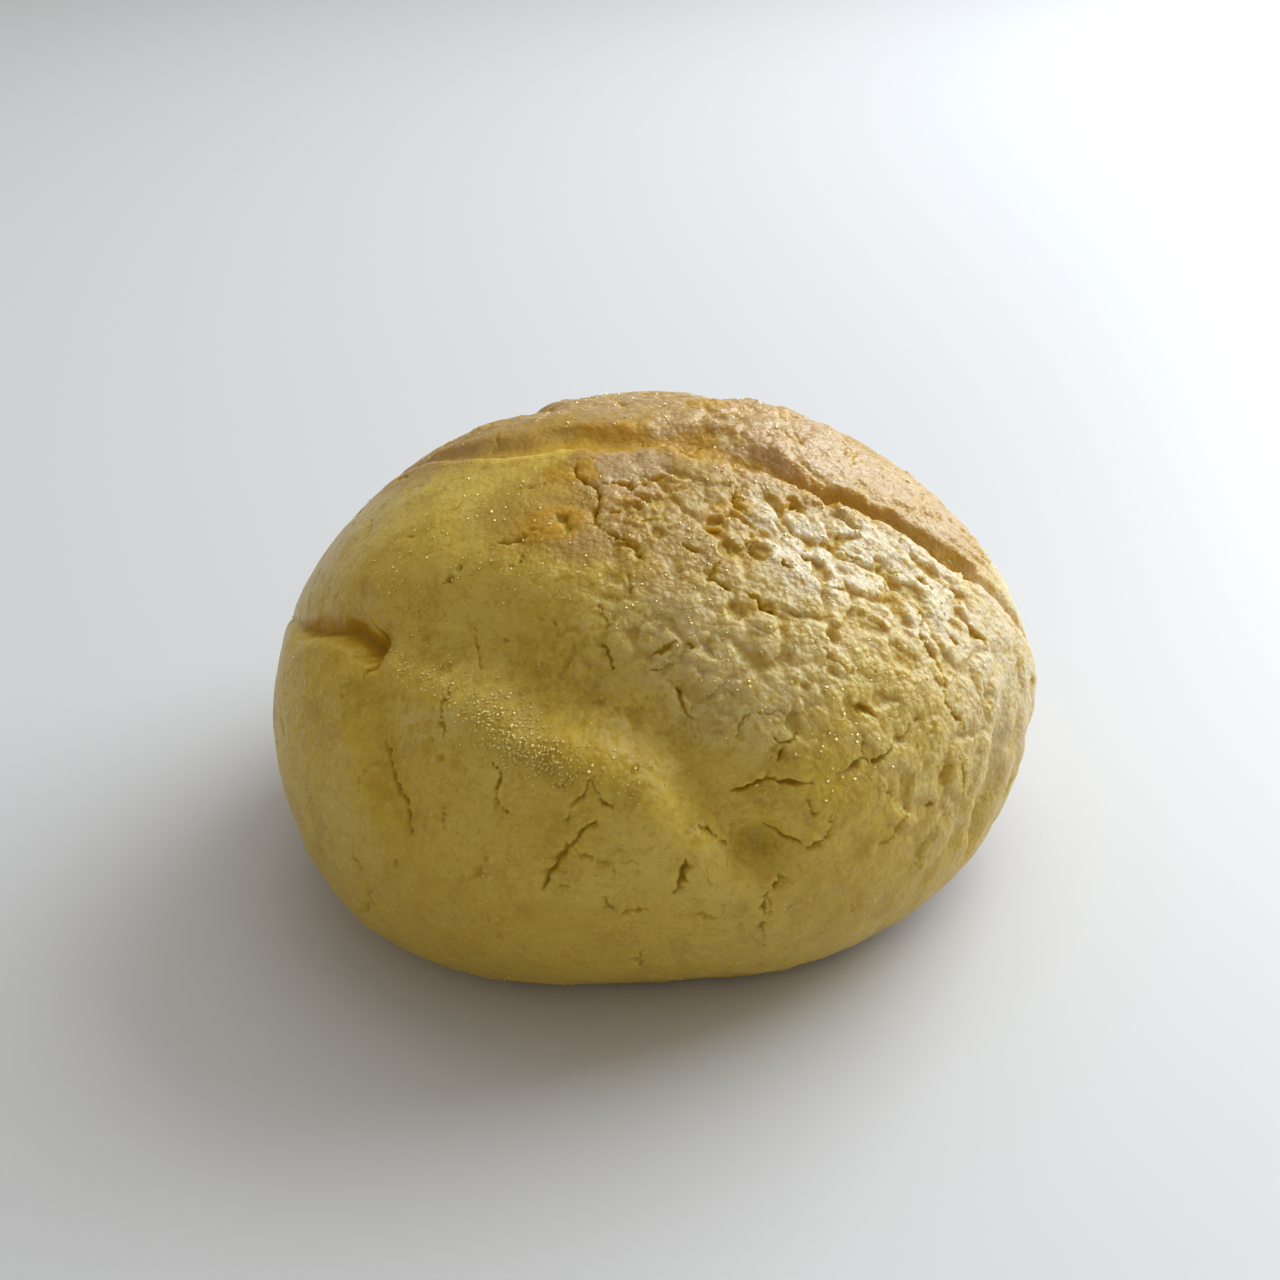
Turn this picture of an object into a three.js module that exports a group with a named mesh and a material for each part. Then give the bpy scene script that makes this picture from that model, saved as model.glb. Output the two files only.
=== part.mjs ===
// Melon bread: a round bun baked under a layer of sweet cookie dough, in millimetres, +Z up.
// It is one baked piece, so it is one closed solid: a domed body on a flat underside, marked
// by the scored lines that the dough spread open along as it rose. The origin is the middle
// of the underside, and the front of the bun looks along -Y.
//
// Places on the crust are given as a bearing and a rise, in degrees, seen from the heart of
// the bun. Bearing 0 is the front and 90 is +X. Rise 0 is the waist and 90 is the crown.
import * as THREE from "three";
import { mergeVertices } from "three/addons/utils/BufferGeometryUtils.js";

// The body
const WAIST_RADIUS = 52.2; // at the widest level
const WAIST_HEIGHT = 22.6; // of the widest level above the underside
const CROWN_RISE = 39.4; // from the waist to the top
const TUCK = 29; // how far the flank would curve below the waist, if nothing cut it flat
const DOME_POWER = 2; // 2 is an ellipse, and more is squarer
const FLANK_POWER = 2.8;
const OVAL = 0.01; // how far the outline is drawn out towards front-left and back-right
const CROWN_LEAN = [0.3, -2.3]; // the crown stands a little right of and before the middle

// The crust
const MAP_RADIUS = 50; // widths along the crust are measured on a ball of this radius
const FACETS = 16; // cuts along each edge of the icosahedron that the skin is made from
const SAMPLES_PER_SPAN = 6; // along a scored line, between two of its points

// A scored line's lip, in widths of its steep wall
const LIP_CREST = 1.5; // from the line to the lip's highest place
const LIP_SPREAD = 1.3; // half the lip's width

// Scored lines. Each point is [bearing, rise, strength], and strength fades a line out.
// A line has a floor "depth" deep, a steep wall on its lip side and a gentle one on the
// other, and the lip stands "lip" proud. The lip is on the right of the line's direction.
const SCORES = [
  {
    what: "across the crown, from the left flank to the right",
    depth: 3.0, lip: 0.8, steep: 2.4, gentle: 7.0,
    points: [
      [-113, 30, 0.1], [-106, 42, 0.5], [-92, 55, 0.4], [-80, 65, 0.5], [-70, 73, 0.6],
      [-50, 79, 0.8], [-20, 84, 0.9], [33, 83, 0.9], [38, 77, 0.9], [50, 72, 1.0],
      [60, 66, 1.0], [66, 59, 1.0], [71, 51, 1.0], [76, 36, 1.0], [81, 18, 0.9], [86, 4, 0.3],
    ],
  },
  {
    what: "a short one at the left",
    depth: 3.4, lip: 0.5, steep: 2.2, gentle: 3.6,
    points: [[-82, 15, 0.3], [-74, 18, 0.7], [-64, 22, 1.0], [-57, 24, 1.0], [-50, 23, 0.4]],
  },
  {
    what: "across the front, turning down at its right end",
    depth: 3.5, lip: 0.7, steep: 3.6, gentle: 8.0,
    points: [
      [-57, 27, 0.1], [-47, 30, 0.6], [-36, 31, 0.9], [-24, 30, 1.0], [-14, 29, 1.0],
      [-5, 27, 1.0], [1, 23, 1.0], [6, 17, 0.9], [10, 12, 0.8], [13, 7, 0.6], [15, 3, 0.1],
    ],
  },
  {
    what: "down the left of the front",
    depth: 1.6, lip: 0.3, steep: 2.4, gentle: 4.4,
    points: [[-49, 27, 0.2], [-47, 22, 0.8], [-42, 16, 1.0], [-38, 12, 0.9], [-33, 4, 0.1]],
  },
  {
    what: "down the right of the front",
    depth: 2.2, lip: 0.4, steep: 2.0, gentle: 3.4,
    points: [[66, 14, 0.1], [61, 7, 0.9], [57, 1, 1.0], [54, -6, 0.7], [53, -10, 0.1]],
  },
  {
    what: "down from the crown towards the front",
    depth: 1.4, lip: 0.4, steep: 2.0, gentle: 3.2,
    points: [[-53, 72, 0.3], [-34, 68, 1.0], [-20, 62, 1.0], [-16, 56, 0.3]],
  },
  {
    what: "across the back",
    depth: 3.2, lip: 0.7, steep: 2.4, gentle: 5.0,
    points: [
      [106, 8, 0.1], [122, 22, 0.7], [143, 33, 1.0], [170, 37, 1.0], [198, 34, 0.9],
      [222, 25, 0.8], [238, 12, 0.1],
    ],
  },
  {
    what: "down the right of the back",
    depth: 2.2, lip: 0.4, steep: 3.0, gentle: 6.0,
    points: [[148, 62, 0.1], [152, 48, 0.7], [157, 26, 1.0], [160, 8, 0.7], [161, -5, 0.1]],
  },
  {
    what: "down the left of the back",
    depth: 2.0, lip: 0.4, steep: 3.0, gentle: 6.0,
    points: [[224, 60, 0.1], [216, 44, 0.8], [209, 26, 1.0], [206, 8, 0.8], [206, -6, 0.1]],
  },
];

// Swellings and hollows: [bearing, rise, half width in mm, height in mm]
const SWELLS = [
  [-59, 42, 19, 1.3], // upper left
  [33, 28, 24, 1.2], // right
  [-12, 6, 20, 1.0], // front, below the front line
  [-70, 3, 14, 0.8], // lower left
  [-20, 46, 14, 0.9], // above the front line
  [120, 62, 17, 0.9], // behind the crown line
  [-42, -12, 20, 2.5], // the left of the foot
  [88, 2, 20, 2.5], // the right flank
  [0, -16, 18, -2.5], // the middle of the foot
  [70, 44, 20, -2.3], // the right shoulder
  [15, 8, 4, -2.2], // a hollow at the end of the front line
];

function directionTo(bearing, rise) {
  const turn = THREE.MathUtils.degToRad(bearing);
  const lift = THREE.MathUtils.degToRad(rise);
  return new THREE.Vector3(
    Math.sin(turn) * Math.cos(lift),
    -Math.cos(turn) * Math.cos(lift),
    Math.sin(lift),
  );
}

// The distance from the heart of the bun to the smooth body's skin in a direction.
function bodyRadius(direction) {
  const level = Math.hypot(direction.x, direction.y);
  const angle = Math.atan2(direction.y, direction.x);
  const across = WAIST_RADIUS * (1 + OVAL * Math.sin(2 * angle));
  const upper = direction.z > 0;
  const power = upper ? DOME_POWER : FLANK_POWER;
  const height = upper ? CROWN_RISE : TUCK;
  const sum = (level / across) ** power + (Math.abs(direction.z) / height) ** power;
  return sum ** (-1 / power);
}

// A scored line as samples on the unit ball, each with its strength.
function traceScore(score) {
  const path = new THREE.CatmullRomCurve3(
    score.points.map(([bearing, rise]) => directionTo(bearing, rise)),
    false,
    "centripetal",
  );
  const spans = score.points.length - 1;
  const samples = [];
  for (let i = 0; i <= spans * SAMPLES_PER_SPAN; i += 1) {
    const along = i / SAMPLES_PER_SPAN;
    const span = Math.min(Math.floor(along), spans - 1);
    const [from, to] = [score.points[span][2], score.points[span + 1][2]];
    samples.push({
      place: path.getPoint(along / spans).normalize(),
      strength: THREE.MathUtils.lerp(from, to, along - span),
    });
  }
  return samples;
}

// How far a scored line lifts (+) or lowers (-) the skin in a direction.
function scoreRelief(direction, score, samples) {
  let nearest = Infinity;
  let side = 1;
  let strength = 0;
  const segment = new THREE.Line3();
  const foot = new THREE.Vector3();
  const offset = new THREE.Vector3();
  for (let i = 1; i < samples.length; i += 1) {
    segment.set(samples[i - 1].place, samples[i].place);
    const share = segment.closestPointToPointParameter(direction, true);
    segment.at(share, foot);
    const distance = foot.distanceTo(direction) * MAP_RADIUS;
    if (distance < nearest) {
      nearest = distance;
      strength = THREE.MathUtils.lerp(samples[i - 1].strength, samples[i].strength, share);
      const heading = segment.delta(offset).cross(direction);
      side = heading.dot(foot.sub(direction)) > 0 ? -1 : 1;
    }
  }
  const width = side > 0 ? score.steep : score.gentle;
  const groove = score.depth * Math.exp(-((nearest / width) ** 2));
  const crest = side * nearest - LIP_CREST * score.steep;
  const lip = score.lip * Math.exp(-((crest / (LIP_SPREAD * score.steep)) ** 2));
  return strength * (lip - groove);
}

function swellRelief(direction, [bearing, rise, halfWidth, height]) {
  const distance = directionTo(bearing, rise).distanceTo(direction) * MAP_RADIUS;
  return height * Math.exp(-((distance / halfWidth) ** 2));
}

// The skin in a direction: body, scored lines and swellings, cut flat at the underside.
function skinPoint(direction, traced) {
  let radius = bodyRadius(direction);
  SCORES.forEach((score, i) => {
    radius += scoreRelief(direction, score, traced[i]);
  });
  SWELLS.forEach((swell) => {
    radius += swellRelief(direction, swell);
  });
  const point = direction.clone().multiplyScalar(radius);
  const risen = Math.max(point.z, 0) / CROWN_RISE;
  point.x += CROWN_LEAN[0] * risen ** 2;
  point.y += CROWN_LEAN[1] * risen ** 2;
  point.z = Math.max(point.z + WAIST_HEIGHT, 0);
  return point;
}

function bunGeometry() {
  const ball = new THREE.IcosahedronGeometry(1, FACETS);
  ball.deleteAttribute("normal");
  ball.deleteAttribute("uv");
  const geometry = mergeVertices(ball);
  const traced = SCORES.map(traceScore);
  const places = geometry.getAttribute("position");
  const direction = new THREE.Vector3();
  for (let i = 0; i < places.count; i += 1) {
    direction.fromBufferAttribute(places, i).normalize();
    const { x, y, z } = skinPoint(direction, traced);
    places.setXYZ(i, x, y, z);
  }
  geometry.computeBoundingBox();
  const middle = geometry.boundingBox.getCenter(new THREE.Vector3());
  geometry.translate(-middle.x, -middle.y, 0);
  geometry.computeVertexNormals();
  return geometry;
}

const crust = new THREE.MeshStandardMaterial({ color: 0xd9bd72, roughness: 0.75, metalness: 0 });

const bun = new THREE.Mesh(bunGeometry(), crust);
bun.name = "melon_bread";

const melonBread = new THREE.Group();
melonBread.add(bun);

export default melonBread;
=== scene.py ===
# A melon bread: a round bun baked under a layer of sweet cookie dough, on a pale floor.
#
# The skin is a ball whose points are moved out to the bun's surface. The ball is cut finer where
# the crust is crumbly or cracked, and each point keeps marks that say what the crust is like
# there, such as how deep it lies in a crack. The materials read those marks.
#
# Places on the crust are given as a bearing and a rise, in degrees, seen from the heart of the
# bun. Bearing 0 is the front and 90 is +X. Rise 0 is the waist and 90 is the crown. Sizes are
# in millimetres until the points are handed to Blender in metres.
import math
import random

import bmesh
import bpy
import numpy as np
from mathutils import Matrix, Vector, noise
from mathutils.bvhtree import BVHTree


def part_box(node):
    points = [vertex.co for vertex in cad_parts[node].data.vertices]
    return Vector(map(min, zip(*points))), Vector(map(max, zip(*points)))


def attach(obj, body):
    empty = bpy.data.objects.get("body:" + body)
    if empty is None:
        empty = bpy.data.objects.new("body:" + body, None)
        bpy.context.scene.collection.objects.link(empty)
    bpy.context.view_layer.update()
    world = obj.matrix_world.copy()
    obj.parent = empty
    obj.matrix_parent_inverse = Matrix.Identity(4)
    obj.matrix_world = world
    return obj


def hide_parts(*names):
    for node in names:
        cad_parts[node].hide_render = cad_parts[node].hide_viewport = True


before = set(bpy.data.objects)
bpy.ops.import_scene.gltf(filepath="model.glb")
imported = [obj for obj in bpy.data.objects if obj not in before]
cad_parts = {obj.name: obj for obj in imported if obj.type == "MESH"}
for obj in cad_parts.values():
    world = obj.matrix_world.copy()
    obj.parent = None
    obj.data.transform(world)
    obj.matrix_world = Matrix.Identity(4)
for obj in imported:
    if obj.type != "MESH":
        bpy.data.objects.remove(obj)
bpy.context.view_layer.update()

MM = 0.001
NODE = "melon_bread"
LOW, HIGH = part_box(NODE)

# ---------------------------------------------------------------- the shape of the bun

WAIST_RADIUS = 52.2  # at the widest level
WAIST_HEIGHT = 22.6  # of the widest level above the underside
CROWN_RISE = 39.4  # from the waist to the top
TUCK = 29.0  # how far the flank would curve below the waist, if nothing cut it flat
DOME_POWER = 2.0  # 2 is an ellipse, and more is squarer
FLANK_POWER = 2.8
OVAL = 0.01  # how far the outline is drawn out towards front-left and back-right
CROWN_LEAN = (0.3, -2.3)  # the crown stands a little right of and before the middle
MAP_RADIUS = 50.0  # widths along the crust are measured on a ball of this radius

# Noise is given as rows of (height, lump size, seed), the first two in mm. A kink is a row
# whose height is how far it strays a line or an edge.
NOISE_SHIFT = Vector((17.3, 5.1, -9.7))  # from one seed's noise to the next, in lumps
UNEVEN = ((0.45, 22, 5), (0.24, 8, 6))  # the body's slow waves
DIMPLED = (0.17, 3.2, 17)  # the smaller dimples over them
SCORE_KINKS = ((2.0, 9.0, 3), (0.5, 1.7, 4))
CRACK_KINKS = ((1.2, 5.0, 1), (0.65, 1.9, 2), (0.42, 0.85, 15))
CRUMB_KINKS = ((0.8, 4.0, 9), (0.3, 1.3, 10))
CRUMB_EDGE_KINK = (6, 16, 8)
GLAZE_EDGE_KINK = (3.0, 5.0, 18)
CRUST_EDGE_KINK = (1.6, 6.0, 7)
KINK_ROOM = 2  # mm that the kinks may move a crack

# Cross-sections of the scored lines, as (across / reach, height / depth), lip side positive.
# In a split the crust has torn and shows a floor of dough, and in a pocket it has sunk under
# a torn edge. In a fold it has only sunk.
SPLIT = (
    (-2.6, 0), (-1.8, -0.04), (-1.38, -0.12), (-1.12, -0.5), (-0.85, -0.82), (-0.4, -0.95),
    (0.05, -1.0), (0.4, 0.0), (0.75, 0.2), (1.6, 0.18), (3.0, 0.06), (4.4, 0),
)
POCKET = (
    (-4.0, 0), (-2.4, -0.2), (-1.2, -0.55), (-0.4, -0.9), (0.05, -1.0), (0.4, -0.1),
    (0.8, 0.1), (1.6, 0.12), (3.0, 0.05), (4.4, 0),
)
LIP_REACH = 2.6  # the most that a lip's own cross-section is stretched
SCORE_ROOM = 22  # mm from a scored line within which its section may matter
SCORE_STEP, CRACK_STEP = 0.5, 0.3  # mm between the samples of a line
FOLD = (
    (-3.4, 0), (-2.0, -0.26), (-0.9, -0.78), (0, -1.0), (0.45, -0.68), (0.85, -0.14),
    (1.2, 0.1), (1.9, 0.14), (3.2, 0),
)

# Scored lines: the section, and points of (bearing, rise, depth, reach). The lip is on the
# right of the line's direction.
SCORES = {
    "across the crown": (SPLIT, (
        (-113, 30, 0.3, 2.4), (-106, 42, 1.5, 3.6), (-92, 55, 1.3, 5.4), (-80, 65, 1.4, 6.6),
        (-70, 73, 1.7, 7.0), (-50, 79, 2.3, 6.6), (-20, 84, 2.5, 6.6), (33, 83, 2.6, 8.0),
        (38, 77, 2.5, 9.0), (50, 72, 2.7, 8.6), (60, 66, 2.9, 7.0), (66, 59, 3.1, 4.4),
        (71, 51, 3.3, 3.8), (76, 36, 3.1, 3.8), (81, 18, 2.7, 3.2), (86, 4, 1.0, 2.0),
    )),
    "the pocket at the left": (POCKET, (
        (-92, 10, 0.2, 1.2), (-82, 15, 1.0, 1.6), (-74, 18, 2.4, 2.0), (-64, 22, 3.4, 2.3),
        (-57, 24, 3.8, 2.4), (-53, 24, 3.4, 2.2), (-50, 23.5, 1.4, 1.6), (-48, 23, 0.2, 1.2),
    )),
    "across the front": (FOLD, (
        (-57, 27, 0.4, 3.0), (-47, 30, 2.2, 4.0), (-36, 31, 3.1, 4.4), (-24, 30, 3.3, 4.4),
        (-14, 29, 3.5, 4.4), (-5, 27, 3.5, 4.4), (1, 23, 3.4, 4.2), (6, 17, 3.2, 3.8),
        (10, 12, 2.8, 3.2), (13, 7, 2.0, 2.6), (15, 3, 0.4, 2.0),
    )),
    "down the left of the front": (FOLD, (
        (-49, 27, 0.3, 1.8), (-47, 22, 1.2, 2.4), (-42, 16, 1.6, 2.6), (-38, 12, 1.4, 2.4),
        (-35, 8, 0.9, 2.0), (-33, 4, 0.2, 1.6),
    )),
    "down the right of the front": (FOLD, (
        (66, 14, 0.3, 1.4), (63, 10, 1.3, 1.6), (61, 7, 1.9, 1.8), (59, 4, 2.2, 1.9),
        (57, 1, 2.2, 1.9), (55, -2, 2.0, 1.8), (54, -6, 1.4, 1.6), (53, -10, 0.3, 1.4),
    )),
    "across the back": (SPLIT, (
        (106, 8, 0.2, 2.0), (122, 22, 2.2, 2.8), (143, 33, 3.0, 3.4), (170, 37, 3.2, 3.8),
        (198, 34, 3.0, 3.6), (222, 25, 2.4, 3.0), (238, 12, 0.4, 2.0),
    )),
    "down the right of the back": (FOLD, (
        (148, 62, 0.3, 2.4), (152, 48, 1.6, 3.4), (157, 26, 2.2, 4.0), (160, 8, 1.6, 3.4),
        (161, -5, 0.3, 2.4),
    )),
    "down the left of the back": (FOLD, (
        (224, 60, 0.3, 2.4), (216, 44, 1.6, 3.4), (209, 26, 2.0, 3.8), (206, 8, 1.6, 3.4),
        (206, -6, 0.3, 2.4),
    )),
}

# Swellings and soft hollows: (bearing, rise, half width, height)
SWELLS = (
    (-59, 42, 19, 1.3), (33, 28, 24, 1.2), (-12, 6, 20, 1.0), (-70, 3, 14, 0.8),
    (-20, 46, 14, 0.9), (120, 62, 17, 0.9), (15, 8, 3.2, -2.8), (-53, 25, 3.0, -1.0),
    (-42, -12, 20, 2.5), (88, 2, 20, 2.5), (0, -16, 18, -2.5), (70, 44, 20, -2.3),
)

# Cracks and pits: width, depth, and points of (bearing, rise). Their lips stand a little proud.
CRACKS = (
    # the lower front
    (1.9, 2.0, ((-42, 17), (-38, 12), (-35, 9), (-33, 6))),
    (0.8, 0.8, ((-33, 21), (-30, 17))),
    (1.3, 1.4, ((-22, 19), (-21, 16), (-19, 13))),
    (0.9, 1.1, ((-28, 12), (-28, 9))),
    (0.7, 0.7, ((-13, 18), (-10, 19), (-7, 18))),
    (1.1, 1.3, ((-7, 18), (-5, 15))),
    (1.9, 1.9, ((-7, 14), (-9, 11), (-12, 8), (-14, 4))),
    (0.9, 0.9, ((-12, 5), (-10, 4))),
    (1.6, 1.8, ((4, 9), (4, 6), (3, 4))),
    (0.7, 0.8, ((-6, 4), (-5, 1), (-3, -1))),
    (1.7, 1.4, ((-3, -1), (0, 1))),
    (0.6, 0.6, ((4, 0), (8, -2))),
    (1.3, 1.2, ((-35, 2), (-34, 1))),
    (1.7, 1.9, ((-58, 28), (-53, 27), (-50, 25), (-49, 22))),
    # around the hollow at the foot of the front fold
    (1.5, 1.7, ((6, 13), (8, 11), (11, 8))),
    (1.3, 1.5, ((19, 4), (15, 2), (15, -2), (17, -3))),
    (1.4, 1.2, ((15, -4), (15, -8))),
    (0.9, 1.2, ((16, 10), (21, 8), (25, 12))),
    # the right of the front
    (1.9, 1.6, ((12, 16), (15, 18), (21, 17))),
    (1.3, 1.4, ((18, 23), (20, 22), (22, 23))),
    (1.2, 1.2, ((20, 21), (18, 19))),
    (1.6, 1.4, ((26, 17), (31, 17))),
    (1.8, 1.4, ((32, 16), (36, 17))),
    (1.4, 0.8, ((49, 9), (49, 6))),
    (1.0, 0.8, ((47, 11), (46, 10))),
    (0.8, 0.6, ((38, 17), (41, 19), (44, 18), (43, 16))),
    (2.8, 1.8, ((32, 24), (36, 22))),
    (1.7, 1.5, ((57, 30), (53, 29), (51, 26), (52, 22), (50, 20), (50, 17), (52, 13))),
    (2.2, 1.0, ((55, 31), (59, 30))),
    (1.5, 1.0, ((64, 34), (64, 31))),
    (1.2, 1.0, ((59, 39), (62, 36))),
    (1.3, 1.1, ((57, 48), (53, 46), (56, 42))),
    (1.1, 0.9, ((45, 38), (44, 41), (39, 43))),
    (0.6, 0.6, ((39, 29), (38, 27))),
    (0.7, 0.5, ((27, 37), (28, 35), (31, 32), (34, 29))),
    (2.2, 1.2, ((21, 45), (25, 40))),
    (3.0, 1.8, ((58, 25), (60, 23))),
    (3.0, 2.2, ((65, 24), (66, 20))),
    (0.8, 0.6, ((33, 13), (35, 10), (37, 7))),
    (1.9, 1.6, ((42, 6), (42, 5))),
    (1.0, 0.9, ((41, 16), (41, 15))),
    # above the front fold
    (1.7, 1.3, ((4, 31), (6, 27))),
    (1.0, 0.9, ((6, 38), (7, 36))),
    (2.0, 1.3, ((0, 36), (4, 38))),
    (1.6, 1.3, ((-9, 38), (-7, 34))),
    (0.8, 0.8, ((-11, 43), (-9, 40))),
    (1.4, 0.8, ((-6, 49), (-4, 45))),
    (2.2, 1.3, ((17, 51), (14, 48), (18, 45))),
    (2.2, 1.9, ((33, 49), (35, 47))),
    (1.0, 1.2, ((37, 48), (41, 46))),
    (1.4, 1.2, ((9, 56), (12, 53))),
    (1.8, 1.3, ((16, 58), (21, 58))),
    (2.4, 1.5, ((38, 66), (32, 60))),
    (1.0, 1.0, ((29, 54), (27, 52))),
    (1.8, 1.3, ((-42, 50), (-37, 52), (-34, 54))),
    (1.2, 1.2, ((-46, 40), (-43, 43))),
    (1.4, 1.0, ((-32, 48), (-31, 48))),
    (0.8, 0.7, ((-30, 35), (-28, 35))),
    # the toasted plate on the crown
    (2.4, 1.8, ((-53, 72), (-34, 68), (-27, 67), (-20, 62), (-16, 57))),
    (2.0, 1.6, ((-26, 69), (-15, 71), (-6, 70), (8, 73))),
    (1.6, 1.3, ((-16, 57), (-8, 55), (-3, 52))),
    (3.8, 0.9, ((-33, 59), (-24, 55))),
    (1.5, 1.0, ((-8, 61), (3, 62))),
    (1.3, 1.3, ((-14, 62), (-12, 62))),
)
CRACK_WIDTH, CRACK_DEPTH = 0.41, 0.46  # how much of the sizes above stands open
CRACK_ROOM = 3  # mm beyond a crack's width within which it may matter
CRACK_TIP = 0.35  # the width at a crack's tips, against its middle
CRACK_GAPE = (0.9, 1.6, 16)  # noise, as a share of the width, that makes it vary along a crack
CRACK_LIP = (0.1, 1.5, 0.45)  # height, and place and spread in half widths of the crack
RELIEF_SEED = 3

# More, smaller cracks, strewn over the whole crust
STRAY_CRACKS = 115
STRAY_SEED = 11
STRAY_TURN = 2.39996  # radians from one to the next, close to the golden angle
STRAY_LOWEST, STRAY_SPAN = -0.2, 1.15  # of the sine of their rise
STRAY_SHIFT = 9  # degrees that their bearing may stray
STRAY_FRONT = 85  # those within this bearing of the front are smaller
FRONT_SIZES, OTHER_SIZES = (0.45, 0.85), (0.6, 1.7)  # widths, before CRACK_WIDTH
STRAY_BEND = 0.35  # how crooked they run

# Where the crust is crumbly, toasted or dry: (bearing, rise, half width in degrees, strength)
ZONE_CORE, ZONE_RIM = 0.45, 1.25  # where a zone starts to fade and where it ends, in half widths
CRUMBLY = (
    (48, 54, 24, 1.0), (62, 34, 18, 0.9), (10, 62, 17, 0.8), (110, 62, 30, 0.6),
    (95, 30, 20, 0.6), (165, 55, 28, 0.5), (225, 45, 22, 0.45), (-25, 68, 10, 0.4),
    (20, 40, 28, 0.7), (48, 18, 26, 0.6), (0, 36, 20, 0.5), (75, 10, 20, 0.5),
    (-25, 50, 16, 0.3), (-30, 5, 40, 0.2), (20, 0, 30, 0.3),
)
TOASTED = (
    (120, 66, 30, 1.0), (98, 38, 18, 0.7), (-20, 74, 11, 1.0), (-20, 59, 10, 0.5),
    (170, 60, 34, 0.9), (230, 50, 28, 0.6), (60, 62, 9, 0.3), (30, 74, 9, 0.5),
    (-38, 60, 14, 0.22), (10, 58, 16, 0.2),
)
DRY = (
    (-36, 21, 3, 1.0), (-31, 22, 3, 1.0), (-6, 25, 3, 0.9), (1, 20, 3, 0.8),
    (-12, 36, 8, 0.4), (-20, 44, 9, 0.3),
    (200, 20, 9, 0.8), (130, 10, 8, 0.7), (20, 70, 7, 0.4),
)

# Where the crust baked pale, and on the right flank a painted sheen too: (bearing, rise, half width
# in degrees, strength)
PALE_AND_SHEEN_ZONES = (
    (80, 22, 34, 0.9), (55, 40, 22, 0.5), (125, 12, 50, 1.0), (185, 8, 60, 1.0), (240, 10, 46, 0.9),
)

# Where the bare dough shows, glazed and amber: (bearing, rise, half width in degrees, strength)
GLAZED = (
    (-30, 57, 6, 1.0), (-46, 70, 5, 1.0), (-87, 77, 6, 0.9), (75, 82, 7, 1.0), (33, 62, 5, 0.9),
    (-99, 86, 6, 0.9), (150, 70, 6, 0.6),
)

# The lower edge of the cookie crust: (bearing, rise). It stops short of the base all round.
CRUST_EDGE = (
    (-180, -14), (-140, -11), (-110, -15), (-85, -20), (-55, -27), (0, -30), (40, -27),
    (60, -18), (75, -12), (100, -14), (130, -9), (155, -13), (180, -14),
)
CRUST_STEP = 1.1  # how far the bun stands back below that edge
CRUST_ROLL = (0.35, 1.4, 1.2)  # the swollen rim above it: height, place and spread

# The crumbly crust breaks into plates, and those into lumps and grains: (size, seed)
PLATES, LUMPS, GRAINS = (6.5, 12), (2.5, 11), (1.3, 19)
SEAM_DEPTH, NICK_DEPTH, HOLE_DEPTH = 0.85, 0.4, 0.8
PLATE_TILT, LUMP_TILT = 0.4, 0.35  # how much one stands above the next
LUMP_ROUND, GRAIN_ROUND = 0.4, 0.3
ROUND_LEVEL = 0.7  # of a pebble's height, which stays where the skin was

MARKS = ("crack", "floor", "crumb", "toast", "dry", "cream_sheen", "bun")
BATCHES = 9  # that points are compared with a line in, to spare memory


def toward(bearing, rise):
    """Unit vectors from the heart of the bun."""
    turn, lift = np.radians(bearing), np.radians(rise)
    level = np.cos(lift)
    return np.stack((np.sin(turn) * level, -np.cos(turn) * level, np.sin(lift)), -1)


def unit(vectors):
    return vectors / np.linalg.norm(vectors, axis=-1, keepdims=True)


def ease(low, high, values):
    """0 up to low, 1 from high, and smooth between."""
    share = np.clip((values - low) / (high - low), 0, 1)
    return share * share * (3 - 2 * share)


def shifted(points, size, seed):
    """The points in units of a noise's lump size, away from other seeds' noise."""
    away = NOISE_SHIFT * seed
    return [Vector(p) / size + away for p in points.tolist()]


def clouds(points, size, seed):
    """Soft noise between about -1 and 1, with lumps of a size in mm."""
    return np.array([noise.noise(p) for p in shifted(points, size, seed)])


def pebbles(points, size, seed):
    """A layer of round pebbles: their height from 0 to 1, how far each point lies from a seam
    between two, and each pebble's own level."""
    found = [noise.voronoi(p) for p in shifted(points, size, seed)]
    away = np.array([gaps[:2] for gaps, _ in found])
    level = np.array([noise.noise(middles[0] * 1.7) for _, middles in found])
    return (1 - away[:, 0] ** 2).clip(0), away[:, 1] - away[:, 0], level


def ragged(ball, *kinks):
    """The ball's points strayed, so that lines over them run rough."""
    for amount, size, seed in kinks:
        stray = [noise.noise_vector(p) for p in shifted(ball * MAP_RADIUS, size, seed)]
        ball = unit(ball + np.array(stray) * amount / MAP_RADIUS)
    return ball


def traced(rows, step):
    """A smooth line through rows of (bearing, rise, values...), as close samples of place and
    values."""
    rows = np.array(rows, float)
    knots = np.column_stack((toward(rows[:, 0], rows[:, 1]), rows[:, 2:]))
    knots = np.vstack((2 * knots[0] - knots[1], knots, 2 * knots[-1] - knots[-2]))
    line = []
    for a, b, c, d in zip(knots, knots[1:], knots[2:], knots[3:]):
        count = max(2, math.ceil(np.linalg.norm((c - b)[:3]) * MAP_RADIUS / step))
        t = np.arange(count)[:, None] / count
        curve = (2 * a - 5 * b + 4 * c - d) * t**2 + (3 * b - a - 3 * c + d) * t**3
        line.append((2 * b + (c - a) * t + curve) / 2)
    line = np.vstack((*line, knots[-2:-1]))
    line[:, :3] = unit(line[:, :3])
    return line


def near(ball, line, reach):
    """The indices of the points that may lie within reach of a line, in mm."""
    middle = unit(line[:, :3].mean(0))
    spread = np.arccos(np.clip(line[:, :3] @ middle, -1, 1)).max() + reach / MAP_RADIUS
    return np.flatnonzero(ball @ middle > math.cos(min(spread, math.pi)))


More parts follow.
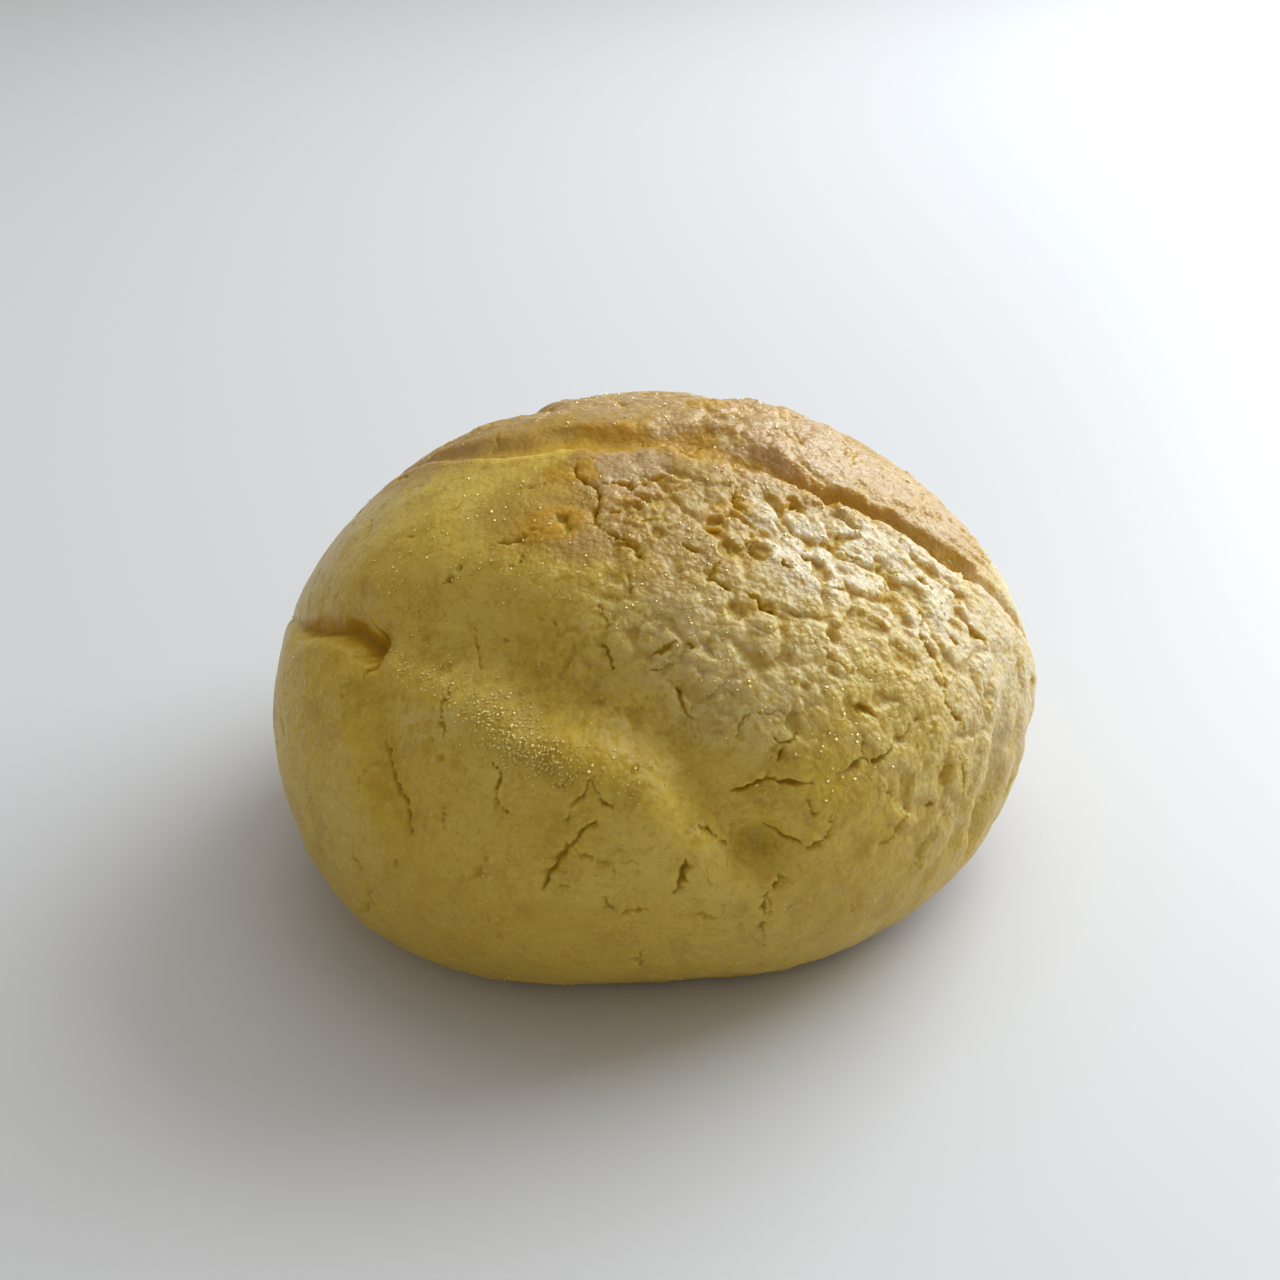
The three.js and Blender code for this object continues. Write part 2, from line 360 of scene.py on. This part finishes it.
def beside(ball, line):
    """Where each point lies by a line: mm to its right, mm beyond its ends, the line's values
    there, and which of its samples is nearest."""
    places = line[:, :3]
    batches = np.array_split(ball, BATCHES)
    nearest = np.concatenate([np.argmax(batch @ places.T, 1) for batch in batches])
    heading = unit(np.gradient(places, axis=0))
    right = unit(np.cross(heading, places))
    offset = (ball - places[nearest]) * MAP_RADIUS
    ahead = (offset * heading[nearest]).sum(1)
    beyond = np.where(nearest == 0, -ahead, np.where(nearest == len(places) - 1, ahead, 0))
    return (offset * right[nearest]).sum(1), beyond.clip(0), line[nearest, 3:], nearest


def section(knots, across):
    """The height of a cross-section that runs smoothly through its knots."""
    at, height = np.array(knots, float).T
    slope = np.gradient(height, at)
    slope[[0, -1]] = 0
    i = np.clip(np.searchsorted(at, across) - 1, 0, len(at) - 2)
    gap = at[i + 1] - at[i]
    t = np.clip((across - at[i]) / gap, 0, 1)
    rise = (3 - 2 * t) * t * t
    lean = gap * (t * (1 - t) ** 2 * slope[i] - t * t * (1 - t) * slope[i + 1])
    return height[i] + (height[i + 1] - height[i]) * rise + lean


def patches(ball, zones):
    """How much each point belongs to any of the zones, from 0 to 1."""
    found = np.zeros(len(ball))
    for bearing, rise, half, strength in zones:
        away = np.degrees(np.arccos(np.clip(ball @ toward(bearing, rise), -1, 1)))
        fade = ease(ZONE_CORE * half, ZONE_RIM * half, away)
        found = np.maximum(found, strength * (1 - fade))
    return found


def stray_cracks():
    """Small cracks strewn over the crust, each as width, depth and points."""
    rng = random.Random(STRAY_SEED)
    found = []
    for i in range(STRAY_CRACKS):
        bearing = math.degrees(i * STRAY_TURN) % 360
        bearing += rng.uniform(-STRAY_SHIFT, STRAY_SHIFT)
        height = STRAY_LOWEST + STRAY_SPAN * (i + rng.random()) / STRAY_CRACKS
        rise = math.degrees(math.asin(height))
        front = abs((bearing + 180) % 360 - 180) < STRAY_FRONT
        size = rng.uniform(*(FRONT_SIZES if front else OTHER_SIZES))
        length = rng.uniform(2, 4) + size * rng.uniform(1, 4)
        heading = rng.uniform(0, math.pi)
        step = math.degrees(length / 2 / MAP_RADIUS)
        narrow = max(0.3, math.cos(math.radians(rise)))  # bearings lie closer up there
        points = []
        for k in (-1, 0, 1):
            bend = rng.uniform(-STRAY_BEND, STRAY_BEND)
            across = k * step * math.cos(heading) + bend * step
            points.append((bearing + across / narrow, rise + k * step * math.sin(heading)))
        found.append((size, size * rng.uniform(0.7, 1.2), tuple(points)))
    return tuple(found)


noise.seed_set(RELIEF_SEED)  # otherwise vector noise differs from run to run
SCORE_LINES = {name: (knots, traced(rows, SCORE_STEP)) for name, (knots, rows) in SCORES.items()}
CRACK_LINES = [
    (width * CRACK_WIDTH, depth, traced(points, CRACK_STEP))
    for width, depth, points in CRACKS + stray_cracks()
]


def cracked(ball):
    """The depth of the cracks and pits in mm, and how far into one each point lies, 0 to 1."""
    rough = ragged(ball, *CRACK_KINKS)
    amount, size, seed = CRACK_GAPE
    gape = 1 + amount * clouds(ball * MAP_RADIUS, size, seed)
    lip, lip_place, lip_spread = CRACK_LIP
    deep, inside = np.zeros(len(ball)), np.zeros(len(ball))
    for width, depth, line in CRACK_LINES:
        some = near(ball, line, width + CRACK_ROOM + KINK_ROOM)
        if not len(some):
            continue
        sideways, beyond, _, nearest = beside(rough[some], line)
        along = nearest / (len(line) - 1)
        taper = CRACK_TIP + (1 - CRACK_TIP) * np.sqrt(np.clip(4 * along * (1 - along), 0, 1))
        taper *= gape[some]
        away = np.hypot(sideways, beyond) / (width / 2 * taper)
        wall = 1 - ease(0.35, 1.05, away)
        rim = lip * np.exp(-(((away - lip_place) / lip_spread) ** 2))
        deep[some] = np.maximum(deep[some], CRACK_DEPTH * depth * taper * (wall - rim))
        inside[some] = np.maximum(inside[some], wall * min(1, 0.45 + depth / 2))
    return deep, inside


def near_cracks(ball, margin):
    """Which points lie in a crack or within a margin of one, in mm."""
    rough = ragged(ball, *CRACK_KINKS)
    found = np.zeros(len(ball), bool)
    for width, _, line in CRACK_LINES:
        some = near(ball, line, width + margin + KINK_ROOM)
        if len(some):
            sideways, beyond, _, _ = beside(rough[some], line)
            found[some] |= np.hypot(sideways, beyond) < width / 2 + margin
    return found


def near_scores(ball, low, high):
    """Which points lie on the steep part of a scored line, between two places across it."""
    rough = ragged(ball, *SCORE_KINKS)
    found = np.zeros(len(ball), bool)
    for _, line in SCORE_LINES.values():
        some = near(ball, line, STEEP_ROOM)
        sideways, beyond, values, _ = beside(rough[some], line)
        across = sideways / np.where(sideways > 0, values[:, 1].clip(max=LIP_REACH), values[:, 1])
        found[some] |= (across > low) & (across < high) & (beyond < 1) & (values[:, 0] > SHALLOW)
    return found


def edge_gap(ball):
    """How far each point lies below the crust's lower edge, in mm."""
    bearing = np.degrees(np.arctan2(ball[:, 0], -ball[:, 1]))
    rise = np.degrees(np.arcsin(np.clip(ball[:, 2], -1, 1)))
    at, edge = np.array(CRUST_EDGE, float).T
    return np.radians(np.interp(bearing, at, edge) - rise) * MAP_RADIUS


def body_radius(ball):
    """How far the smooth body's skin is from the heart of the bun."""
    level = np.hypot(ball[:, 0], ball[:, 1])
    angle = np.arctan2(ball[:, 1], ball[:, 0])
    across = WAIST_RADIUS * (1 + OVAL * np.sin(2 * angle))
    upper = ball[:, 2] > 0
    power = np.where(upper, DOME_POWER, FLANK_POWER)
    height = np.where(upper, CROWN_RISE, TUCK)
    return ((level / across) ** power + (abs(ball[:, 2]) / height) ** power) ** (-1 / power)


def skin(ball):
    """The points of the skin in mm, and its marks."""
    places = ball * MAP_RADIUS
    radius = body_radius(ball)
    marks = {
        "toast": patches(ball, TOASTED),
        "dry": patches(ball, DRY),
        "cream_sheen": patches(ball, PALE_AND_SHEEN_ZONES),
    }

    for bearing, rise, half, height in SWELLS:
        away = np.arccos(np.clip(ball @ toward(bearing, rise), -1, 1)) * MAP_RADIUS
        radius += height * np.exp(-((away / half) ** 2))
    radius += sum(height * clouds(places, size, seed) for height, size, seed in UNEVEN)
    height, size, seed = DIMPLED
    radius += height * clouds(places, size, seed)

    rough = ragged(ball, *SCORE_KINKS)
    floor = np.zeros(len(ball))
    for knots, line in SCORE_LINES.values():
        some = near(ball, line, SCORE_ROOM)
        sideways, beyond, values, _ = beside(rough[some], line)
        depth, reach = values.T
        fade = 1 - ease(0, 5, beyond)
        if knots is not FOLD:
            reach = np.where(sideways > 0, reach.clip(max=LIP_REACH), reach)
        height = section(knots, sideways / reach) * fade
        radius[some] += height * depth
        shows = ease(0.35, 0.95, -height) * ease(0.4, 2.6, depth)
        floor[some] = np.maximum(floor[some], shows * (0.2 if knots is FOLD else 1))
    marks["floor"] = np.maximum(floor, patches(ragged(ball, GLAZE_EDGE_KINK), GLAZED))

    gap = edge_gap(ragged(ball, CRUST_EDGE_KINK))
    marks["bun"] = ease(-0.2, 0.6, gap)
    height, place, spread = CRUST_ROLL
    roll = height * np.exp(-(((gap + place) / spread) ** 2))
    radius -= CRUST_STEP * ease(-0.4, 0.7, gap) - roll
    on_crust = 1 - ease(-1, 0, gap)

    crumb = patches(ragged(ball, CRUMB_EDGE_KINK), CRUMBLY) * on_crust
    marks["crumb"] = crumb
    loose = ragged(ball, *CRUMB_KINKS) * MAP_RADIUS
    _, plate, plate_level = pebbles(loose, *PLATES)
    dome, lump, lump_level = pebbles(loose, *LUMPS)
    grain, _, _ = pebbles(places, *GRAINS)
    broken = ease(-0.25, 0.25, clouds(places, 8, 13))
    seams = (1 - ease(0.02, 0.17, plate)) * broken
    nicks = (1 - ease(0.0, 0.25, lump)) * ease(-0.1, 0.35, clouds(places, 4, 14))
    holes = ease(0.33, 0.48, clouds(loose, 3.2, 21))
    levels = PLATE_TILT * plate_level * ease(0, 0.2, plate)
    levels = levels + LUMP_TILT * lump_level * ease(0, 0.3, lump)
    rounds = LUMP_ROUND * (dome - ROUND_LEVEL) + GRAIN_ROUND * (grain - ROUND_LEVEL)
    relief = levels + rounds - SEAM_DEPTH * seams - NICK_DEPTH * nicks - HOLE_DEPTH * holes
    radius += crumb * relief
    creases = np.maximum(np.maximum(seams, 0.7 * nicks), holes)

    deep, inside = cracked(ball)
    radius -= deep * on_crust
    marks["crack"] = np.maximum(inside * on_crust, 0.55 * crumb * creases)

    points = ball * radius[:, None]
    risen = (points[:, 2].clip(0) / CROWN_RISE) ** 2
    points[:, 0] += CROWN_LEAN[0] * risen
    points[:, 1] += CROWN_LEAN[1] * risen
    points[:, 2] = (points[:, 2] + WAIST_HEIGHT).clip(0)
    return points, marks


# ---------------------------------------------------------------- the mesh

BALL_CUTS = 6
UNDERSIDE = -0.44  # the ball's height below which the bun rests on its base
FINE_CRUMB = 0.52  # how crumbly the crust is where its faces are cut finer
STEEP_ROOM = 8  # mm from a scored line that its steep part may reach
SHALLOW = 0.8  # a scored line less deep than this isn't cut finer
CRUST_MAP, BASE_MAP = (0.4, 0.39), (0.87, 0.12)  # the rounds of the flat map: middle, radius
CRUST_SPAN, BASE_SPAN = 1.2, 0.75  # how wide each of them comes out before it is scaled


def cut_finer(bm, wanted):
    """Cuts the ball's faces in four where more detail is wanted, and rounds it again."""
    bm.verts.index_update()
    chosen = wanted(np.array([v.co for v in bm.verts]))
    edges = [e for e in bm.edges if all(chosen[v.index] for v in e.verts)]
    bmesh.ops.subdivide_edges(bm, edges=edges, cuts=1, use_grid_fill=True)
    bmesh.ops.triangulate(bm, faces=[f for f in bm.faces if len(f.verts) > 3])
    for v in bm.verts:
        v.co.normalize()


def detailed_ball():
    """A ball cut three times more: above the base, where the crust is broken, and in cracks."""
    bm = bmesh.new()
    bmesh.ops.create_icosphere(bm, subdivisions=BALL_CUTS, radius=1)
    cut_finer(bm, lambda ball: ball[:, 2] > UNDERSIDE)
    cut_finer(bm, lambda ball: (
        (patches(ball, CRUMBLY) > FINE_CRUMB) | near_scores(ball, -1.6, 1.6)
        | near_cracks(ball, 0.8) | (abs(edge_gap(ball)) < 2)
    ))
    cut_finer(bm, lambda ball: near_cracks(ball, 0.3) | near_scores(ball, -0.05, 0.5))
    return bm


def to_map(ball):
    """A flat map of the ball for the bake: the crust in a large round, the base in a small one."""
    up = ball[:, 2] > UNDERSIDE
    height = np.where(up, ball[:, 2], -ball[:, 2])
    scale = np.where(up, CRUST_MAP[1] / CRUST_SPAN, BASE_MAP[1] / BASE_SPAN)
    out = np.sqrt((1 - height).clip(0)) * scale
    turn = np.arctan2(ball[:, 1], ball[:, 0])
    middle = np.where(up, CRUST_MAP[0], BASE_MAP[0])
    return np.stack((middle + out * np.cos(turn), middle + out * np.sin(turn)), -1)


def bread():
    """The whole bun as one closed skin, its box set to the CAD solid's."""
    bm = detailed_ball()
    mesh = bpy.data.meshes.new("baked_bun")
    bm.to_mesh(mesh)
    bm.free()
    ball = np.empty(len(mesh.vertices) * 3)
    mesh.vertices.foreach_get("co", ball)
    ball = unit(ball.reshape(-1, 3))
    points, marks = skin(ball)

    low, high = points.min(0), points.max(0)
    share = (points - low) / (high - low)
    points = np.array(LOW) + share * (np.array(HIGH) - np.array(LOW))
    mesh.vertices.foreach_set("co", points.ravel())
    for name in MARKS:
        mesh.attributes.new(name, "FLOAT", "POINT").data.foreach_set("value", marks[name])
    mesh.update()
    mesh.shade_smooth()

    corners = np.empty(len(mesh.loops), int)
    mesh.loops.foreach_get("vertex_index", corners)
    spots = ball[corners].reshape(-1, 3, 3)
    height = spots[:, :, 2]
    below = (height.mean(1) <= UNDERSIDE)[:, None]
    over = height.clip(UNDERSIDE + 1e-6)
    spots[:, :, 2] = np.where(below, np.minimum(height, UNDERSIDE), over)
    layer = mesh.uv_layers.new(name="OFBake")
    layer.data.foreach_set("uv", to_map(spots.reshape(-1, 3)).ravel())
    return mesh, ball, points, marks


def add(name, mesh, material):
    """A piece of the bread, made from its mesh."""
    mesh.materials.append(material)
    piece = bpy.data.objects.new(name, mesh)
    bpy.context.scene.collection.objects.link(piece)
    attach(piece, "root")
    return piece


# ---------------------------------------------------------------- shader arithmetic


class Wire:
    """An output of a shader node. Python's operators on it add Math nodes."""

    def __init__(self, finish, socket):
        self.finish, self.socket = finish, socket

    def __add__(self, other):
        return self.finish.math("ADD", self, other)

    def __sub__(self, other):
        return self.finish.math("SUBTRACT", self, other)

    def __rsub__(self, other):
        return self.finish.math("SUBTRACT", other, self)

    def __mul__(self, other):
        return self.finish.math("MULTIPLY", self, other)

    __radd__ = __add__
    __rmul__ = __mul__


class Finish:
    """A material as it is made."""

    def __init__(self, name):
        self.material = bpy.data.materials.new(name)
        self.material.use_nodes = True
        self.tree = self.material.node_tree
        self.tree.nodes.clear()

    def node(self, kind, settings, sockets, output=0):
        """A new node, its settings made before its sockets, as one of its outputs."""
        made = self.tree.nodes.new("ShaderNode" + kind)
        for name, value in settings.items():
            setattr(made, name, value)
        for key, value in sockets.items():
            if isinstance(value, Wire):
                self.tree.links.new(value.socket, made.inputs[key])
            else:
                made.inputs[key].default_value = value
        return Wire(self, made.outputs[output]) if made.outputs else None

    def math(self, operation, *values):
        return self.node("Math", {"operation": operation}, dict(enumerate(values)))

    def millimetres(self):
        """The place on the piece, in mm."""
        place = self.node("TexCoord", {}, {}, "Object")
        return self.node("VectorMath", {"operation": "SCALE"}, {0: place, "Scale": 1 / MM})

    def mark(self, name):
        return self.node("Attribute", {"attribute_name": name}, {}, "Fac")

    def clouds(self, place, size, detail=2.0, roughness=0.5):
        """Soft noise from 0 to 1, with lumps of a size in mm."""
        sockets = {"Vector": place, "Scale": 1 / size, "Detail": detail, "Roughness": roughness}
        return self.node("TexNoise", {}, sockets)

    def hairlines(self, place, size):
        """1 along the fine crooked seams of a mosaic whose cells are about size mm across."""
        stray = self.node("TexNoise", {}, {"Vector": place, "Scale": 1.2, "Detail": 3.0}, "Color")
        crooked = self.node("VectorMath", {"operation": "ADD"}, {0: place, 1: stray})
        settings = {"feature": "DISTANCE_TO_EDGE"}
        gap = self.node("TexVoronoi", settings, {"Vector": crooked, "Scale": 1 / size}, "Distance")
        return self.step(gap, 0.035, 0.01)

    def step(self, values, low, high):
        """0 up to low, 1 from high, and smooth between."""
        settings = {"interpolation_type": "SMOOTHSTEP"}
        return self.node("MapRange", settings, {"Value": values, "From Min": low, "From Max": high})

    def blend(self, share, first, second):
        """A colour between two others."""
        colours = {0: share, 6: first, 7: second}
        return self.node("Mix", {"data_type": "RGBA", "clamp_factor": True}, colours, 2)

    def bump(self, height):
        """A relief of a height in mm."""
        return self.node("Bump", {}, {"Height": height, "Distance": MM})

    def surface(self, sockets):
        shader = self.node("BsdfPrincipled", {}, sockets)
        self.node("OutputMaterial", {}, {"Surface": shader})
        return self.material


def rgb(red, green, blue):
    return (red, green, blue, 1.0)


# ---------------------------------------------------------------- the finishes

COOKIE = rgb(0.70, 0.475, 0.036)
COOKIE_PALE = rgb(0.78, 0.58, 0.10)
COOKIE_DEEP = rgb(0.57, 0.35, 0.015)
# painted shade for the crust near its foot
COOKIE_PAINTED_SHADE = rgb(0.52, 0.335, 0.025)
COOKIE_GOLD = rgb(0.52, 0.31, 0.03)
# pale cream, partly the crust's own colour and partly painted sheen
CREAM_WITH_SHEEN = rgb(0.79, 0.68, 0.52)
AMBER = rgb(0.56, 0.35, 0.002)
SYRUP = rgb(0.66, 0.42, 0.02)
DOUGH = rgb(0.58, 0.32, 0.003)
TOAST = rgb(0.53, 0.32, 0.10)
TOAST_PALE = rgb(0.70, 0.50, 0.26)
DRY_SUGAR = rgb(0.78, 0.62, 0.25)
BUN = rgb(0.42, 0.24, 0.06)
BUN_BASE = rgb(0.26, 0.11, 0.03)
SUGAR_DARK, SUGAR_LIGHT = rgb(0.74, 0.54, 0.09), rgb(0.84, 0.66, 0.18)

# The sizes in mm of the lumps in the crust's colour and relief
BROAD, BLOTCH, MOTTLE, GRAIN = 16, 5, 1.7, 0.6
PORE, HAIRLINE = 1.4, 4.6
GRANULES_PER_MM = 1.3


def crust_finish():
    """Cookie crust: yellow and waxy, toasted on the crown, amber in its cracks."""
    f = Finish("cookie_crust")
    place = f.millimetres()
    crack, floor, crumb, toast, dry, cream_sheen, bun = (f.mark(name) for name in MARKS)
    broad = f.clouds(place, BROAD, 3)
    blotches = f.clouds(place, BLOTCH, 4, 0.6)
    mottle = f.clouds(place, MOTTLE, 3, 0.6)
    grain = f.clouds(place, GRAIN, 1.5)

    # the yellow of the cookie, uneven and speckled
    colour = f.blend(f.step(broad, 0.3, 0.7), COOKIE, COOKIE_PALE)
    colour = f.blend(f.step(blotches, 0.48, 0.7) * 0.7, colour, COOKIE_DEEP)
    specks = mottle + (grain - 0.5) * 0.8
    colour = f.blend(f.step(specks, 0.48, 0.78) * 0.7, colour, COOKIE_PALE)
    colour = f.blend(f.step(specks, 0.5, 0.2) * 0.6, colour, COOKIE_DEEP)
    # paler where it is crumbly or little baked, partly as painted sheen on the right, and brown
    # where it is toasted
    pale = f.math("MAXIMUM", f.step(crumb, 0.42, 1.05) * 0.88, cream_sheen * 0.75)
    colour = f.blend(pale * f.step(specks, 0.15, 0.6), colour, CREAM_WITH_SHEEN)
    colour = f.blend(f.step(toast, 0.02, 0.3), colour, COOKIE_GOLD)
    browned = f.step(toast + (blotches - 0.5) * 0.9, 0.3, 1.0)
    toasted = f.blend(f.step(specks, 0.25, 0.8), TOAST, TOAST_PALE)
    colour = f.blend(browned, colour, toasted)
    chalk = dry * f.step(mottle + (grain - 0.5) * 0.5, 0.36, 0.6)
    colour = f.blend(chalk * 0.5, colour, DRY_SUGAR)
    # glazed dough in the splits, syrup in the cracks, and pores and hairlines
    glazed = f.step(floor, 0.15, 0.8) * f.step(blotches, 0.25, 0.42)
    colour = f.blend(glazed * 0.95, colour, DOUGH)
    colour = f.blend(f.step(crack, 0.03, 0.5) * 0.9, colour, SYRUP)
    colour = f.blend(f.step(crack, 0.5, 0.9), colour, AMBER)
    pores = f.step(f.clouds(place, PORE, 3, 0.7), 0.68, 0.76)
    hairs = f.hairlines(place, HAIRLINE) * f.step(blotches + (broad - 0.5), 0.58, 0.66)
    hairs = hairs * f.step(mottle, 0.48, 0.56)
    colour = f.blend(f.math("MAXIMUM", pores * 0.4, hairs * 0.6), colour, AMBER)
    # painted shade, darker towards the foot, and the bare bun below the crust
    height = f.node("SeparateXYZ", {}, {0: place}, "Z")
    colour = f.blend(f.step(height, 34.0, 6.0) * 0.7, colour, COOKIE_PAINTED_SHADE)
    bottom = f.blend(f.step(height, 0.4, 7.0), BUN_BASE, BUN)
    colour = f.blend(bun, colour, bottom)

    rough = 0.44 - 0.08 * toast + 0.25 * dry + 0.15 * floor
    rough = rough + (mottle - 0.5) * 0.3 - f.step(grain, 0.56, 0.66) * 0.16

    granules = f.node("TexVoronoi", {}, {"Vector": place, "Scale": GRANULES_PER_MM})
    relief = blotches * 0.4 + mottle * 0.36 + grain * (crumb + 0.5) * 0.1
    relief = relief - granules * (crumb + 0.32) * 0.24 - (pores + hairs) * 0.12
    return f.surface({
        "Base Color": colour,
        "Roughness": rough,
        "Normal": f.bump(relief),
        "Subsurface Weight": 0.75,
        "Subsurface Radius": (1.0, 0.7, 0.2),
        "Subsurface Scale": 2.6 * MM,
        "Specular IOR Level": 0.48,
        "Coat Weight": f.step(crumb, 0.2, 1.0) * 0.35,
        "Coat Roughness": 0.32,
    })


def sugar_finish():
    """Sugar crystals, which take the crust's colour and flash where a face meets the light."""
    f = Finish("sugar")
    tint = f.clouds(f.millimetres(), 2.5)
    return f.surface({
        "Base Color": f.blend(tint, SUGAR_DARK, SUGAR_LIGHT),
        "Roughness": 0.14 + 0.16 * tint,
        "Specular IOR Level": 1.0,
        "Specular Tint": rgb(1.0, 0.92, 0.66),
    })


# ---------------------------------------------------------------- sugar

# Where crystals lie: (bearing, rise, half width in degrees, how many)
SUGARED = (
    (-44, 27, 2.4, 45), (-38, 27, 2.4, 50), (-33, 26, 2.2, 50), (-26, 25, 2.2, 130),
    (-21, 23, 2.6, 200), (-16, 21, 2.2, 140), (-12, 20, 2.2, 50), (-24, 28, 3.5, 40),
    (-5, 17, 3.0, 30), (-51, 33, 3.0, 30), (-58, 36, 4.0, 25), (-62, 14, 6, 30),
    (-15, 8, 20, 220), (-45, 46, 12, 90), (-8, 42, 14, 120), (25, 30, 20, 240),
    (50, 45, 22, 420), (60, 75, 16, 40), (140, 40, 34, 240), (215, 35, 34, 240),
)
SUGAR_SEED = 5
SUGAR_SPREAD = 0.75  # of a cluster, against its half width
CRYSTAL = (0.16, 0.42)  # the shortest and the longest, in mm
CRYSTAL_THICKNESS = 0.6  # against its length
CRYSTAL_LEAN = 0.24  # how far they stray from one way of lying
SPARKLE = (65, 53)  # the bearing and rise that most crystals turn a face to


def sugar(bun_mesh, ball, points, marks):
    """Crystals half sunk in the crust, thickest on the crests of the scored lines."""
    crust = BVHTree.FromPolygons(
        [v.co for v in bun_mesh.vertices], [face.vertices for face in bun_mesh.polygons]
    )
    rng = random.Random(SUGAR_SEED)
    bm = bmesh.new()
    open_crust = (marks["crack"] < 0.2) & (marks["bun"] < 0.1)
    for bearing, rise, half, count in SUGARED:
        spread = math.radians(half) * SUGAR_SPREAD
        for _ in range(count):
            stray = [rng.gauss(0, spread) for _ in range(3)]
            place = unit(toward(bearing, rise) + np.array(stray))
            nearest = np.argmax(ball @ place)
            if not open_crust[nearest]:
                continue
            slide = (place - ball[nearest]) * MAP_RADIUS * MM
            size = rng.uniform(*CRYSTAL) * MM
            lean = [side + rng.gauss(0, CRYSTAL_LEAN) for side in toward(*SPARKLE)]
            turn = Vector(lean).to_track_quat("Z", "Y")
            middle, _, _, _ = crust.find_nearest(Vector(points[nearest] + slide))
            spot = Matrix.Translation(middle) @ turn.to_matrix().to_4x4()
            width, thickness = size * rng.uniform(0.4, 0.8), size * CRYSTAL_THICKNESS
            block = Matrix.Diagonal((size, width, thickness, 1))
            bmesh.ops.create_cube(bm, size=1, matrix=spot @ block)
    mesh = bpy.data.meshes.new("sugar_grains")
    bm.to_mesh(mesh)
    bm.free()
    return mesh


# ---------------------------------------------------------------- camera, light and floor

LENS, SENSOR = 45.0, 36.0
ELEVATION = math.radians(31)
DISTANCE = 0.2288
AIM = Vector((-0.0026, 0.0006, 0.0283))
LIT_PLACE = Vector((0, 0, 0.03))  # that the lights are turned to
FLOOR_RADIUS = 6
SKY, SKY_STRENGTH = (1.0, 0.97, 0.89), 0.31


def camera():
    """A camera that looks down on the front of the bun."""
    data = bpy.data.cameras.new("camera")
    data.lens, data.sensor_width = LENS, SENSOR
    data.clip_start = 0.01
    eye = bpy.data.objects.new("camera", data)
    bpy.context.scene.collection.objects.link(eye)
    back = Vector((0, -math.cos(ELEVATION), math.sin(ELEVATION)))
    eye.location = AIM + DISTANCE * back
    eye.rotation_euler = (math.pi / 2 - ELEVATION, 0, 0)
    bpy.context.scene.camera = eye


def soft_light(name, bearing, rise, distance, size, power, colour):
    """A square area light turned towards the bun."""
    data = bpy.data.lights.new(name, "AREA")
    data.size, data.energy, data.color = size, power, colour
    lamp = bpy.data.objects.new(name, data)
    bpy.context.scene.collection.objects.link(lamp)
    toward_lamp = Vector(toward(bearing, rise))
    lamp.location = LIT_PLACE + distance * toward_lamp
    lamp.rotation_euler = toward_lamp.to_track_quat("Z", "Y").to_euler()


def surroundings():
    """A pale floor, and soft light from behind and to the right."""
    bm = bmesh.new()
    bmesh.ops.create_circle(bm, cap_ends=True, segments=96, radius=FLOOR_RADIUS)
    mesh = bpy.data.meshes.new("floor")
    bm.to_mesh(mesh)
    bm.free()
    f = Finish("floor")
    mesh.materials.append(f.surface({"Base Color": rgb(0.76, 0.77, 0.80), "Roughness": 0.5}))
    ground = bpy.data.objects.new("floor", mesh)
    bpy.context.scene.collection.objects.link(ground)

    world = bpy.data.worlds.new("studio")
    world.use_nodes = True
    sky = world.node_tree.nodes["Background"]
    sky.inputs["Color"].default_value = rgb(*SKY)
    sky.inputs["Strength"].default_value = SKY_STRENGTH
    bpy.context.scene.world = world
    soft_light("window", 128, 30, 0.9, 0.8, 9.4, (0.90, 0.96, 1.0))
    soft_light("ceiling", 150, 66, 0.9, 0.9, 2.1, (1.0, 0.98, 0.95))
    bpy.context.scene.view_settings.view_transform = "Standard"


# ---------------------------------------------------------------- the scene

camera()
surroundings()
bun_mesh, ball, skin_points, skin_marks = bread()
bun = add("baked_bun", bun_mesh, crust_finish())
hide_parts(NODE)
add("sugar_grains", sugar(bun_mesh, ball, skin_points, skin_marks), sugar_finish())
